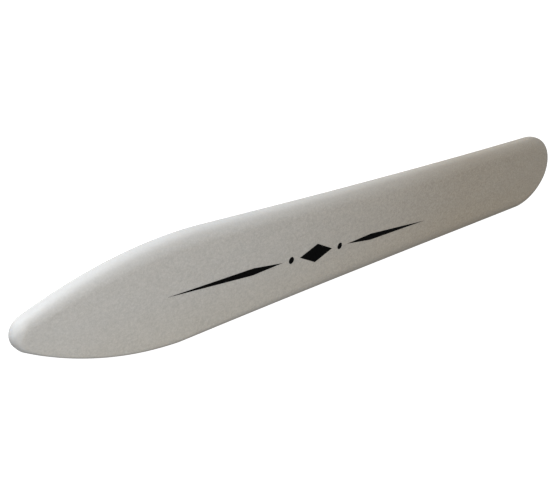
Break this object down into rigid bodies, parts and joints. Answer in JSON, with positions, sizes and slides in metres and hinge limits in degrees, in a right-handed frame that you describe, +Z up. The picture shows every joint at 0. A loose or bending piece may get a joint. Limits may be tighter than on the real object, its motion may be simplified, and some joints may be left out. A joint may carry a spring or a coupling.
{
  "type": "bone folder",
  "caption": "Flat hand tool for scoring and creasing paper: one slim bar with a blunt point at one end, a full round at the other and softly rounded edges.",
  "frame": {"origin": "on the resting surface, under the middle of the blade", "axes": "+X along the blade from the blunt point to the round end, +Y across it, +Z up through the printed face"},
  "size_m": [0.1524, 0.019, 0.0033],
  "materials": {
    "bone": "satin, fine ground grain",
    "ink": "flat black print"
  },
  "bodies": {
    "root": {"folder_blade": "bone", "printed_mark": "ink"}
  },
  "joints": []
}
